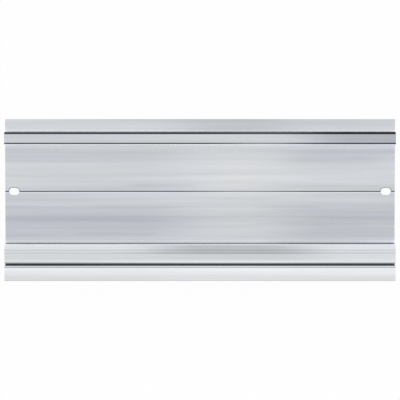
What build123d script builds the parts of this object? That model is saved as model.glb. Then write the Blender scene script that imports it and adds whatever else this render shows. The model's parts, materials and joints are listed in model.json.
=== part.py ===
from build123d import *
import os

# PLC mounting rail: one aluminium extrusion, cut to length and slotted at both ends.
# It lies on its back: X runs along the rail, Y up its height to the hook, Z out of its front.
# The section is drawn as (height above the bottom edge, depth in front of the back plane), in mm.

# The extrusion as a whole
rail_length = 375.0
rail_height = 155.0
rail_depth = 16.0
web_thickness = 4.0
edge_radius = 0.5
root_radius = 0.8

# Hook rib that modules hang on: a wedge-nosed front wall with a score above its heel, and a slot behind it
# that opens towards the top edge
flange_height = 12.2
hook_height = 12.7
hook_depth = 14.0
hook_wall = 4.8
hook_root = 3.6
hook_tip = 0.7
nose_length = 2.1
nose_radius = 1.2
heel_radius = 1.2
heel_score_rise = 1.85
heel_score_width = 0.9
heel_score_depth = 0.45

# Top-hat foot along the bottom, open at the back, with an undercut lip on each side for 35 mm rail devices
hat_width = 35.0
hat_wall = 2.6
lip_reach = 4.5
upper_lip_edge = 1.3
upper_lip_slope = 3.1
lower_lip_thickness = 2.0
face_scores = (5.4, 8.2)
face_score_width = 0.5
face_score_depth = 0.2

# Channel in the hat's face that the modules' lower screws bite into, and the crowned band below it
channel_height = 15.75
channel_width = 2.5
channel_depth = 8.4
channel_wall = 2.0
land_width = 1.25
land_drop = 0.7
land_score_width = 0.8
land_score_depth = 0.4
crown_run = 4.7
crown_radius = 10.5

# Marking groove along the web, and the fixing slots that are punched on it
groove_height = 85.3
groove_width = 1.2
groove_depth = 0.35
slot_length = 10.0
slot_width = 7.0
slot_inset = 8.5

# Heights and depths worked out from the sizes above
hook_top = rail_height - flange_height
hook_foot = hook_top - hook_height
hook_slot_front = hook_depth - hook_wall
hook_slot_floor = hook_foot + hook_root
upper_leg_outside = hat_width - lip_reach
upper_leg_inside = upper_leg_outside - hat_wall
upper_lip_front = rail_depth - upper_lip_slope
upper_lip_back = upper_lip_front - upper_lip_edge
lower_leg_outside = lip_reach
lower_leg_inside = lower_leg_outside + hat_wall
lower_lip_back = rail_depth - lower_lip_thickness
hat_ceiling = rail_depth - hat_wall
land_front = rail_depth - land_drop
land_bottom = channel_height - channel_width / 2 - land_width
crown_top = land_bottom - land_score_width
crown_bottom = crown_top - crown_run
crown_drop = crown_radius - (crown_radius**2 - crown_run**2) ** 0.5
slot_spacing = rail_length - 2 * slot_inset

section_plane = Plane(origin=(-rail_length / 2, -rail_height / 2, 0), x_dir=(0, 1, 0), z_dir=(1, 0, 0))
slot_plane = Plane(origin=(0, groove_height - rail_height / 2, 0))


def rounded_face(*corners):
    """Fill an outline whose corners are each (height, depth, rounding radius)."""
    with BuildLine() as outline:
        FilletPolyline([corner[:2] for corner in corners], radius=[corner[2] for corner in corners], close=True)
    make_face(outline.edges())


def web():
    """Flat plate that lies against the wall, from the hat's upper leg to the top edge."""
    rounded_face(
        (upper_leg_inside, 0, edge_radius),
        (rail_height, 0, edge_radius),
        (rail_height, web_thickness, edge_radius),
        (upper_leg_inside, web_thickness, 0),
    )


def hook():
    """Rib with a rounded heel and a wedge nose, and the slot behind its front wall."""
    rounded_face(
        (hook_foot, edge_radius, 0),
        (hook_foot, hook_depth, heel_radius),
        (hook_top - nose_length, hook_depth, nose_radius),
        (hook_top, hook_slot_front + hook_tip, 0),
        (hook_top, hook_slot_front, 0),
        (hook_slot_floor, hook_slot_front, root_radius),
        (hook_slot_floor, web_thickness, root_radius),
        (hook_top, web_thickness, 0),
        (hook_top, edge_radius, 0),
    )


def hat():
    """Top-hat foot: two legs, a front wall and a lip on each side."""
    rounded_face(
        (upper_leg_inside, edge_radius, 0),
        (upper_leg_outside, edge_radius, 0),
        (upper_leg_outside, upper_lip_back, root_radius),
        (hat_width, upper_lip_back, 0),
        (hat_width, upper_lip_front, edge_radius),
        (upper_leg_outside, rail_depth, 2 * edge_radius),
        (0, rail_depth, edge_radius),
        (0, lower_lip_back, edge_radius),
        (lower_leg_outside, lower_lip_back, root_radius),
        (lower_leg_outside, 0, edge_radius),
        (lower_leg_inside, 0, edge_radius),
        (lower_leg_inside, hat_ceiling, root_radius),
        (upper_leg_inside, hat_ceiling, root_radius),
    )


def score(height, depth, width, deepness):
    """Cut a shallow V that runs the whole length of the rail."""
    with BuildLine() as outline:
        Polyline(
            (height - width / 2, depth),
            (height, depth - deepness),
            (height + width / 2, depth),
            close=True,
        )
    make_face(outline.edges(), mode=Mode.SUBTRACT)


def crown():
    """Lower the hat's face from the channel down: a land, a shallow V, then a band that curves up to the flat."""
    with BuildLine() as outline:
        Polyline(
            (crown_bottom, rail_depth),
            (channel_height, rail_depth),
            (channel_height, land_front),
            (land_bottom, land_front),
            (land_bottom - land_score_width / 2, land_front - land_score_depth),
            (crown_top, rail_depth - crown_drop),
        )
        RadiusArc((crown_top, rail_depth - crown_drop), (crown_bottom, rail_depth), -crown_radius)
    make_face(outline.edges(), mode=Mode.SUBTRACT)


def screw_channel():
    """Walls and floor on the inside of the hat's front wall, with the channel cut into them from the front."""
    with Locations((channel_height, rail_depth)):
        Rectangle(
            channel_width + 2 * channel_wall,
            channel_depth + channel_wall,
            align=(Align.CENTER, Align.MAX),
        )
    crown()
    with Locations((channel_height, rail_depth)):
        Rectangle(channel_width, channel_depth, align=(Align.CENTER, Align.MAX), mode=Mode.SUBTRACT)


with BuildPart() as mounting_rail:
    with BuildSketch(section_plane) as section:
        web()
        hook()
        hat()
        screw_channel()
        for inset in face_scores:
            score(hat_width - inset, rail_depth, face_score_width, face_score_depth)
        score(groove_height, web_thickness, groove_width, groove_depth)
        score(hook_foot + heel_score_rise, hook_depth, heel_score_width, heel_score_depth)
        # Inside corners where the hook and the hat stand on the web
        roots = [(hook_foot, web_thickness), (upper_leg_outside, web_thickness)]
        fillet([section.vertices().sort_by_distance(root)[0] for root in roots], radius=root_radius)
    extrude(amount=rail_length)
    # Fixing slots
    with BuildSketch(slot_plane):
        with GridLocations(slot_spacing, 0, 2, 1):
            SlotOverall(slot_length, slot_width)
    extrude(amount=web_thickness, mode=Mode.SUBTRACT)

os.makedirs("parts", exist_ok=True)
mounting_rail.part.label = "mounting_rail"
export_step(mounting_rail.part, "parts/mounting_rail.step")
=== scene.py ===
import json
import math

import bpy
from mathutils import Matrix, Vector


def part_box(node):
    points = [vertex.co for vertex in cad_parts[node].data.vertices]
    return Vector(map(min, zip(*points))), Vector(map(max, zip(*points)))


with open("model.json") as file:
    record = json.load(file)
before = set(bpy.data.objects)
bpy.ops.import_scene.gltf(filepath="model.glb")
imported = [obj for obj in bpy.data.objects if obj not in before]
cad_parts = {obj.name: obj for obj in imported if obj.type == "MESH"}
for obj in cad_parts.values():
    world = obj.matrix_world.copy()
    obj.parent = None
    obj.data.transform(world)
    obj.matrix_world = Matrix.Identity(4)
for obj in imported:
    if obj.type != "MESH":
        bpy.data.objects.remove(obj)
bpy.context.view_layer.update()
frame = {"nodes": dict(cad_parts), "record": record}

NODE = "mounting_rail"
SLOT = "rail_aluminium"
MM = 0.001

# The rail as the frame gives it: it lies on its back, its length along X and its height along Y
low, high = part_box(NODE)
rail_length = high[0] - low[0]
rail_height = high[1] - low[1]

# The fixing slots, as the record states them
slots = next(mount for mount in frame["record"]["mounts"] if mount["name"] == "fixing_slots")
slot_radius = slots["dims"]["hole_r_mm"]
slot_reach = slots["dims"]["spacing_x_mm"] / 2
slot_straight = slots["dims"]["slot_length_mm"] / 2 - slot_radius
slot_height = (slots["pos_m"][1] - low[1]) / MM

# Features of the section, in mm: heights above the rail's bottom edge, depths in front of its back plane
web_front = 4.0
hook_top = 142.8
heel_score = 131.95
heel_score_half = 0.45
hook_slot_front = 9.2
nose_foot = 140.7
groove_height = 85.3
groove_half = 0.6
hat_width = 35.0
face_scores = (29.6, 26.8)
channel_height = 15.75
channel_half = 1.25
channel_mouth = 15.2
land_score = 12.85

# The photograph: its width, the rail's length at the web's middle in pixels, and where the camera stands
photo_width = 400.0
web_length_px = 389.4
camera_distance = 1.96
camera_pitch = math.radians(2.65)
aim_y = -0.00037
sensor_width = 36.0

# Floor: its own colour, and how much of the white that the camera and the metal see is laid over it
floor_colour = (0.96, 0.965, 0.97, 1.0)
floor_white = 0.95
floor_size = 16.0


def new_object(name, data):
    """Put data into the scene under a plain name."""
    thing = bpy.data.objects.new(name, data)
    bpy.context.scene.collection.objects.link(thing)
    return thing


class Nodes:
    """Short calls for the shader nodes of one node tree."""

    def __init__(self, tree):
        self.tree = tree
        tree.nodes.clear()

    def add(self, kind, inputs=None, **settings):
        """Make a node, set its properties, and fill its inputs with values or links."""
        node = self.tree.nodes.new("ShaderNode" + kind)
        for name, value in settings.items():
            setattr(node, name, value)
        for key, value in (inputs or {}).items():
            self.put(node, key, value)
        return node

    def put(self, node, key, value):
        """Link an output to an input, or write a plain value into it."""
        if isinstance(value, bpy.types.NodeSocket):
            self.tree.links.new(value, node.inputs[key])
        else:
            node.inputs[key].default_value = value

    def math(self, operation, *values):
        """One Math node over up to three values."""
        return self.add("Math", dict(enumerate(values)), operation=operation).outputs[0]

    def times(self, first, *others):
        """Product of any number of values."""
        for other in others:
            first = self.math("MULTIPLY", first, other)
        return first

    def plus(self, first, *others):
        """Sum of any number of values."""
        for other in others:
            first = self.math("ADD", first, other)
        return first

    def vector_math(self, operation, a, b):
        return self.add("VectorMath", {0: a, 1: b}, operation=operation).outputs[0]

    def scale(self, vector, factor):
        """A vector or a colour times one value."""
        node = self.add("VectorMath", {0: vector, "Scale": factor}, operation="SCALE")
        return node.outputs[0]

    def noise(self, vector, cells, detail=2.0, roughness=0.5):
        """Noise between 0 and 1, with its cells' sizes given along each axis."""
        scaled = self.vector_math("DIVIDE", vector, cells)
        node = self.add("TexNoise", {"Vector": scaled, "Scale": 1.0, "Detail": detail, "Roughness": roughness})
        return node.outputs[0]

    def ranged(self, value, start, end, low=0.0, high=1.0, smooth=True):
        """Map a value from start..end to low..high, held at both ends."""
        node = self.add(
            "MapRange",
            {"Value": value, "From Min": start, "From Max": end, "To Min": low, "To Max": high},
            interpolation_type="SMOOTHSTEP" if smooth else "LINEAR",
        )
        return node.outputs[0]

    def band(self, value, centre, half, soft):
        """1 within half of a centre, fading to 0 over a soft edge that is centred on the band's limit."""
        distance = self.math("ABSOLUTE", self.math("SUBTRACT", value, centre))
        return self.ranged(distance, half + soft, half - soft)

    def between(self, value, start, end, soft=0.05):
        """1 from start to end, with a narrow soft edge."""
        return self.band(value, (start + end) / 2, (end - start) / 2, soft)

    def mix(self, factor, a, b, blend="MIX"):
        """Mix two colours."""
        node = self.add("Mix", data_type="RGBA", blend_type=blend)
        self.put(node, 0, factor)
        self.put(node, 6, a)
        self.put(node, 7, b)
        return node.outputs[2]

    def stops(self, value, stops):
        """Levels at given places of a value between 0 and 1, joined smoothly."""
        node = self.add("ValToRGB", {0: value})
        ramp = node.color_ramp
        ramp.interpolation = "EASE"
        while len(ramp.elements) < len(stops):
            ramp.elements.new(0.5)
        for element, (place, level) in zip(ramp.elements, stops):
            element.position = place
            element.color = (level, level, level, 1.0)
        return node.outputs[0]


class Place:
    """Where a point of the rail is, as shader values: millimetres in the section's terms, and facing."""

    def __init__(self, n):
        object_coords = n.add("TexCoord").outputs["Object"]
        corner = (0.0, low[1] / MM, low[2] / MM)
        self.mm = n.vector_math("SUBTRACT", n.scale(object_coords, 1 / MM), corner)
        self.along, self.height, self.depth = n.add("SeparateXYZ", {0: self.mm}).outputs
        self.normal = n.add("NewGeometry").outputs["Normal"]
        facing = n.add("SeparateXYZ", {0: self.normal})
        self.end = n.ranged(n.math("ABSOLUTE", facing.outputs[0]), 0.75, 0.95)
        self.up = facing.outputs[1]
        self.front = n.ranged(facing.outputs[2], 0.1, 0.4)


def painted_reflection_tones(n, at):
    """How much brighter or darker each stretch of the rail's front is: painted reflections, highlights and shade laid
    into the colour.

    Each row is a height, half its width, its soft edge, its change, and a further change at the rail's middle.
    """
    flange, hook, web, slope, upper_face, face, crown = 149.0, 136.4, 82.7, 32.4, 28.2, 22.6, 7.0
    bands = (
        (154.75, 0.45, 0.2, -0.08, 0.0),
        (flange, 6.0, 0.3, 0.09, -0.16),
        (146.8, 1.6, 0.8, 0.03, 0.0),
        (143.9, 0.9, 0.4, 0.31, -0.02),
        (hook, 6.4, 0.2, 0.02, 0.07),
        (130.3, 1.05, 0.1, 0.31, 0.02),
        (web, 47.4, 0.3, 0.0, 0.105),
        (128.0, 1.3, 0.6, 0.10, 0.0),
        (119.5, 5.5, 3.5, -0.04, 0.01),
        (105.3, 9.0, 6.0, 0.10, -0.05),
        (94.5, 4.5, 3.0, 0.065, 0.0),
        (87.2, 0.6, 0.3, -0.06, 0.0),
        (78.0, 7.0, 3.0, 0.0, -0.035),
        (84.3, 0.55, 0.1, 0.18, -0.04),
        (68.0, 4.5, 2.5, -0.065, 0.0),
        (52.1, 10.5, 1.5, -0.09, 0.05),
        (58.8, 2.8, 1.5, -0.055, 0.0),
        (38.2, 1.8, 1.0, 0.06, -0.04),
        (36.9, 1.4, 0.3, 0.16, 0.0),
        (34.6, 0.5, 0.2, 0.32, 0.0),
    )
    # Painted reflection: the hat's upper lip and the face beside it darken over a wider stretch
    wide_bands = (
        (slope, 1.9, 0.3, 0.15, -0.35),
        (upper_face, 2.4, 0.5, 0.18, -0.36),
        (face, 3.4, 0.6, 0.12, -0.05),
        (19.4, 1.1, 0.3, 0.07, 0.04),
        (18.85, 0.5, 0.15, 0.28, 0.0),
        (17.4, 0.45, 0.15, -0.04, 0.16),
        (14.6, 1.0, 0.3, 0.07, 0.0),
        (crown, 7.0, 0.5, 0.20, 0.05),
        (9.0, 2.8, 0.8, 0.09, 0.0),
        (6.0, 1.8, 0.8, 0.03, 0.0),
        (0.2, 0.5, 0.2, -0.28, 0.0),
    )
    # Streaks that reach along only a part of the rail: height, half their width, place along, half their length
    streaks = (
        (134.2, 1.4, -50.0, 150.0, -0.055),
        (79.0, 6.5, 125.0, 75.0, 0.05),
        (116.0, 4.5, 128.0, 62.0, -0.09),
        (70.4, 1.4, -62.0, 58.0, -0.09),
        (70.8, 1.3, 88.0, 40.0, -0.09),
        (91.2, 1.8, -34.0, 46.0, -0.09),
        (43.6, 1.6, -80.0, 50.0, -0.07),
        (36.9, 1.1, 112.0, 60.0, -0.12),
        (26.9, 0.5, -55.0, 40.0, -0.14),
        (18.3, 0.6, -170.0, 100.0, -0.16),
        (14.0, 0.9, -170.0, 100.0, -0.10),
    )
    middle = n.band(at.along, 33.0, 52.0, 42.0)
    wide_middle = n.band(at.along, 32.0, 70.0, 42.0)
    right_end = n.ranged(at.along, 75.0, 150.0)
    total = 0.0
    # Painted reflections that change towards the rail's right end
    for height, half, change in ((flange, 6.0, -0.06), (hook, 6.4, -0.24), (face, 3.4, 0.09), (6.0, 3.0, 0.05)):
        total = n.plus(n.times(n.band(at.height, height, half, 0.3), right_end, change), total)
    for height, half, along, reach, change in streaks:
        streak = n.times(n.band(at.height, height, half, 0.6 * half), n.band(at.along, along, 0.7 * reach, 0.3 * reach))
        total = n.plus(n.times(streak, change), total)
    for centre, rows in ((middle, bands), (wide_middle, wide_bands)):
        for height, half, soft, change, at_middle in rows:
            here = n.band(at.height, height, half, soft)
            total = n.plus(n.times(here, n.math("MULTIPLY_ADD", centre, at_middle, change)), total)
    # Only what faces the front has them: the legs, the lips' outer sides and the sawn ends keep the plain tone
    return n.math("MULTIPLY_ADD", total, at.front, 1.0)


def painted_dark_lines(n, at):
    """Painted shade along the rail: in the score at the hook's heel, in the groove, on the web under the hat's lip, in
    the screw channel and in the scores; and the hook's nose painted dark as a dark reflection, where it turns away.
    """
    right = n.ranged(at.along, 85.0, 140.0)
    middle = n.band(at.along, 60.0, 30.0, 28.0)
    groove_middle = n.band(at.along, 40.0, 36.0, 36.0)
    # The nose's painted dark reflection is darkest at its foot, and streaked like the rest of the metal
    streaked = n.ranged(n.noise(at.mm, (180.0, 0.8, 0.8), detail=2.0), 0.35, 0.65, -0.04, 0.04, smooth=False)
    nose = n.between(at.height, nose_foot - 0.18, hook_top - 0.10)
    nose = n.times(nose, n.ranged(at.depth, hook_slot_front, hook_slot_front + 0.3))
    from_foot = n.ranged(at.height, nose_foot + 0.5, hook_top - 0.6, 0.94, 0.88)
    strength = n.plus(n.ranged(right, 0.0, 1.0, from_foot, 1.0), n.times(middle, -0.04), streaked)
    nose = n.times(nose, n.math("MINIMUM", strength, 0.99))
    # Painted shade in the score near the hook's heel
    heel = n.times(n.band(at.height, heel_score - 0.10, heel_score_half + 0.12, 0.08), n.ranged(at.depth, 12.6, 13.0))
    heel = n.times(heel, n.plus(0.88, n.times(right, 0.12), n.times(middle, -0.43)))
    # Painted shade in the groove
    groove = n.band(at.height, groove_height + 0.15, groove_half - 0.12, 0.1)
    groove = n.times(groove, at.front, n.plus(0.90, n.times(groove_middle, -0.30)))
    # Painted shadow on the web under the hat's upper lip
    shadow = n.times(n.between(at.height, hat_width - 0.2, hat_width + 0.6, 0.2), n.ranged(at.depth, 5.0, 4.5))
    shadow = n.times(shadow, n.plus(0.61, n.ranged(at.along, 45.0, 105.0, 0.0, 0.23), n.times(groove_middle, -0.09)))
    # Painted shade in the screw channel
    channel = n.times(
        n.between(at.height, channel_height - channel_half - 0.1, channel_height + channel_half + 0.1),
        n.ranged(at.depth, channel_mouth, channel_mouth - 0.5),
        n.ranged(at.along, -70.0, -140.0, 0.75, 0.80),
    )
    darkest = nose
    for line in (heel, groove, shadow, channel):
        darkest = n.math("MAXIMUM", darkest, line)
    # Weaker painted shade in the two scores in the hat's face and the one above the crown
    shallow = ((face_scores[0], 0.15), (face_scores[1] - 0.12, 0.23), (land_score + 0.10, 0.37))
    for height, strength in shallow:
        darkest = n.math("MAXIMUM", darkest, n.times(n.band(at.height, height, 0.34, 0.12), strength))
    return darkest


def painted_slot_rim_shade(n, at):
    """Painted shade round the rim of each fixing slot, darker above it than below."""
    across = n.math("SUBTRACT", n.math("ABSOLUTE", at.along), slot_reach)
    across = n.math("MAXIMUM", n.math("SUBTRACT", n.math("ABSOLUTE", across), slot_straight), 0.0)
    rise = n.math("SUBTRACT", at.height, slot_height)
    distance = n.math("SQRT", n.plus(n.times(across, across), n.times(rise, rise)))
    distance = n.math("SUBTRACT", distance, slot_radius)
    upper = n.ranged(rise, -1.0, 1.5)
    return n.times(n.ranged(distance, 1.1, 0.2), n.plus(0.10, n.times(upper, 0.42)), at.front)


def tints(n, at, painted_shade):
    """Grey of the bare metal: cool, with a cast of lavender in places, plainer low on the hat, bluer where shade is
    painted.
    """
    cool = (0.680, 0.704, 0.728, 1.0)
    lavender = (0.676, 0.698, 0.770, 1.0)
    plain = (0.694, 0.704, 0.722, 1.0)
    steel = (0.612, 0.700, 0.785, 1.0)
    # Where the cast is stronger: height, half its width, soft edge, place along, half its length, strength
    casts = (
        (52.0, 17.0, 8.0, -110.0, 110.0, 0.42),
        (52.0, 17.0, 8.0, 150.0, 60.0, 0.42),
        (121.0, 8.0, 3.0, 150.0, 60.0, 0.50),
        (136.4, 6.2, 0.3, 160.0, 60.0, 0.45),
        (148.6, 2.6, 1.5, 30.0, 80.0, 0.45),
        (102.0, 14.0, 4.0, 0.0, 400.0, -0.25),
        (80.0, 5.0, 2.0, -80.0, 60.0, 0.42),
    )
    middle = n.band(at.along, 42.0, 42.0, 30.0)
    patches = n.noise(at.mm, (110.0, 9.0, 9.0), detail=1.0)
    cast = n.plus(0.34, n.ranged(patches, 0.3, 0.7, -0.30, 0.30))
    cast = n.times(cast, n.math("MULTIPLY_ADD", middle, -0.85, 1.0))
    for height, half, soft, along, reach, strength in casts:
        here = n.times(n.band(at.height, height, half, soft), n.band(at.along, along, 0.75 * reach, 0.35 * reach))
        cast = n.plus(n.times(here, strength), cast)
    cast = n.times(cast, n.ranged(at.height, hat_width - 0.5, hat_width + 0.5))
    # On the hat only the upper lip has it, at the middle where its painted reflection is darker
    on_lip = n.times(n.band(at.height, 32.4, 1.9, 0.3), n.band(at.along, 32.0, 60.0, 40.0))
    cast = n.plus(cast, n.times(on_lip, 0.40))
    colour = n.mix(cast, cool, lavender)
    warm = n.times(n.band(at.height, 100.0, 14.0, 10.0), n.band(at.along, 36.0, 20.0, 18.0))
    colour = n.mix(n.math("MAXIMUM", warm, n.ranged(at.height, 9.5, 7.0)), colour, plain)
    return n.mix(painted_shade, colour, steel)


def sawn_end(n, at):
    """Tone of the sawn ends: arcs that a saw blade left, its centre far below the section."""
    blade = n.vector_math("SUBTRACT", at.mm, (0.0, 60.0, -170.0))
    flat = n.vector_math("MULTIPLY", blade, (0.0, 1.0, 1.0))
    radius = n.add("VectorMath", {0: flat}, operation="LENGTH").outputs["Value"]
    arcs = n.add("TexNoise", {"W": radius, "Scale": 3.0, "Detail": 3.0}, noise_dimensions="1D").outputs[0]
    return arcs


def aluminium():
    """Bare extruded aluminium: long die marks, drifting greys, painted reflections and highlights, painted shade in the
    corners and grooves, sawn ends.
    """
    material = bpy.data.materials.new(SLOT)
    material.use_nodes = True
    n = Nodes(material.node_tree)
    at = Place(n)

    # Lines that the die leaves: from full-length bands down to hairlines, then short scratches over them
    streaks = n.noise(at.mm, (240.0, 7.0, 7.0), detail=2.0)
    drifts = n.noise(at.mm, (150.0, 4.2, 4.2), detail=1.0)
    die_lines = n.noise(at.mm, (420.0, 1.5, 1.5), detail=3.0, roughness=0.6)
    hairlines = n.noise(at.mm, (60.0, 0.22, 0.22), detail=2.0)
    scratches = n.ranged(n.noise(at.mm, (16.0, 0.35, 0.35), detail=1.0), 0.70, 0.78)

    slot_rim_shade = painted_slot_rim_shade(n, at)
    arcs = sawn_end(n, at)
    # Convex edges: real wear and a painted highlight, lighter and smoother
    rounded = n.add("Bevel", {"Radius": 0.45 * MM}, samples=6).outputs[0]
    turn = n.add("VectorMath", {0: rounded, 1: at.normal}, operation="DOT_PRODUCT").outputs["Value"]
    wear_and_edge_highlight = n.times(n.ranged(turn, 0.995, 0.90), n.ranged(die_lines, 0.3, 0.6, 0.5, 1.0))

    # The hat's face is smoother than the web
    uneven = n.plus(
        n.ranged(streaks, 0.3, 0.7, -0.055, 0.055, smooth=False),
        n.ranged(drifts, 0.3, 0.7, -0.038, 0.038, smooth=False),
        n.ranged(die_lines, 0.3, 0.7, -0.014, 0.014, smooth=False),
    )
    uneven = n.times(uneven, n.ranged(at.height, hat_width - 1.0, hat_width + 1.0, 0.55, 1.0))
    tone = n.plus(
        painted_reflection_tones(n, at),
        uneven,
        n.ranged(hairlines, 0.3, 0.7, -0.005, 0.005, smooth=False),
        n.times(scratches, 0.012),
        n.times(wear_and_edge_highlight, 0.08),
    )
    # Painted shade and the nose's painted dark reflection, along the rail and round the slots, darken the tone
    painted_shade = n.math("MAXIMUM", painted_dark_lines(n, at), slot_rim_shade)
    tone = n.times(tone, n.math("SUBTRACT", 1.0, painted_shade))
    # No metal gives back more light than it gets
    colour = n.vector_math("MINIMUM", n.scale(tints(n, at, painted_shade), tone), (1.0, 1.0, 1.0))
    sawn = n.scale((0.66, 0.67, 0.68), n.ranged(arcs, 0.3, 0.7, 0.80, 1.08))
    colour = n.mix(at.end, colour, sawn)

    rough = n.plus(
        n.ranged(streaks, 0.3, 0.7, 0.25, 0.29),
        n.ranged(hairlines, 0.3, 0.7, -0.02, 0.02),
        n.times(painted_shade, 0.10),
        n.times(wear_and_edge_highlight, -0.04),
        n.times(at.end, n.ranged(arcs, 0.3, 0.7, 0.02, 0.12)),
    )
    height = n.plus(n.times(streaks, 0.5), n.times(die_lines, 0.35), n.times(hairlines, 0.15), n.times(scratches, -0.1))
    height = n.plus(height, n.times(at.end, arcs))
    bump = n.add("Bump", {"Height": height, "Strength": 0.06, "Distance": 0.0003})
    grain = n.vector_math("CROSS_PRODUCT", at.normal, (1.0, 0.02, 0.013))
    metal = n.add(
        "BsdfPrincipled",
        {
            "Base Color": colour,
            "Metallic": 1.0,
            "Roughness": rough,
            "Anisotropic": 0.75,
            "Tangent": grain,
            "Normal": bump.outputs[0],
        },
    )
    n.add("OutputMaterial", {"Surface": metal.outputs[0]})
    return material


def pale_floor():
    """White sweep: its own shaded colour, with white laid over it for camera, glossy and transmission rays."""
    material = bpy.data.materials.new("pale_floor")
    material.use_nodes = True
    n = Nodes(material.node_tree)
    rays = n.add("LightPath").outputs
    seen = n.math("MAXIMUM", rays["Is Camera Ray"], n.math("MAXIMUM", rays["Is Glossy Ray"], rays["Is Transmission Ray"]))
    matt = n.add("BsdfDiffuse", {"Color": floor_colour})
    white = n.add("Emission", {"Color": (1.0, 1.0, 1.0, 1.0), "Strength": 1.0})
    shader = n.add("MixShader", {0: n.times(seen, floor_white), 1: matt.outputs[0], 2: white.outputs[0]})
    n.add("OutputMaterial", {"Surface": shader.outputs[0]})
    return material


def floor():
    """Large flat floor that the rail lies on."""
    half = floor_size / 2
    mesh = bpy.data.meshes.new("floor")
    mesh.from_pydata([(-half, -half, 0), (half, -half, 0), (half, half, 0), (-half, half, 0)], [], [(0, 1, 2, 3)])
    mesh.materials.append(pale_floor())
    plane = new_object("floor", mesh)
    plane.location.z = low[2] - 0.05 * MM


def studio():
    """World light: a pale room that is nowhere brighter than white, with a darker stretch in front of the foot."""
    world = bpy.data.worlds.new("studio")
    bpy.context.scene.world = world
    world.use_nodes = True
    n = Nodes(world.node_tree)
    direction = n.add("TexCoord").outputs["Generated"]
    x, y, z = n.add("SeparateXYZ", {0: direction}).outputs
    # Angle from straight up towards +Y, from -90 to 90 degrees as 0 to 1
    turn = n.ranged(n.math("ARCTAN2", y, z), -math.pi / 2, math.pi / 2, smooth=False)
    sky = n.stops(
        turn,
        ((0.0, 0.96), (0.07, 0.96), (0.17, 0.92), (0.32, 0.66), (0.44, 0.84), (0.52, 0.88), (0.64, 0.97), (0.92, 0.96)),
    )
    level = n.mix(n.ranged(n.math("ABSOLUTE", x), 0.35, 0.9), sky, (0.92, 0.92, 0.92, 1.0))
    background = n.add("Background", {"Color": level, "Strength": 1.0})
    n.add("OutputWorld", {"Surface": background.outputs[0]})


def softbox(name, place, size, radiance, target=(0.0, 0.0, 0.0)):
    """Rectangular lamp of a given radiance, turned to the rail."""
    data = bpy.data.lights.new(name, "AREA")
    data.shape = "RECTANGLE"
    data.size, data.size_y = size
    data.energy = radiance * math.pi * size[0] * size[1]
    lamp = new_object(name, data)
    lamp.location = place
    lamp.rotation_euler = (Vector(target) - lamp.location).to_track_quat("-Z", "Y").to_euler()


def camera():
    """Straight above the rail, a little towards its top edge, with the photograph's frame."""
    data = bpy.data.cameras.new("camera")
    data.sensor_width = sensor_width
    frame_width = rail_length * photo_width / web_length_px
    data.lens = sensor_width * camera_distance / frame_width
    data.clip_end = 100.0
    thing = new_object("camera", data)
    target = Vector((0.0, aim_y, low[2] + web_front * MM))
    back = Vector((0.0, math.sin(camera_pitch), math.cos(camera_pitch)))
    thing.location = target + back * camera_distance
    thing.rotation_euler.x = -camera_pitch
    bpy.context.scene.camera = thing


rail = frame["nodes"][NODE]
metal = aluminium()
rail.data.materials.clear()
rail.data.materials.append(metal)
floor()
studio()
softbox("key", (-1.3, 1.6, 2.2), (1.6, 1.6), 0.06)
camera()
bpy.context.scene.view_settings.view_transform = "Standard"
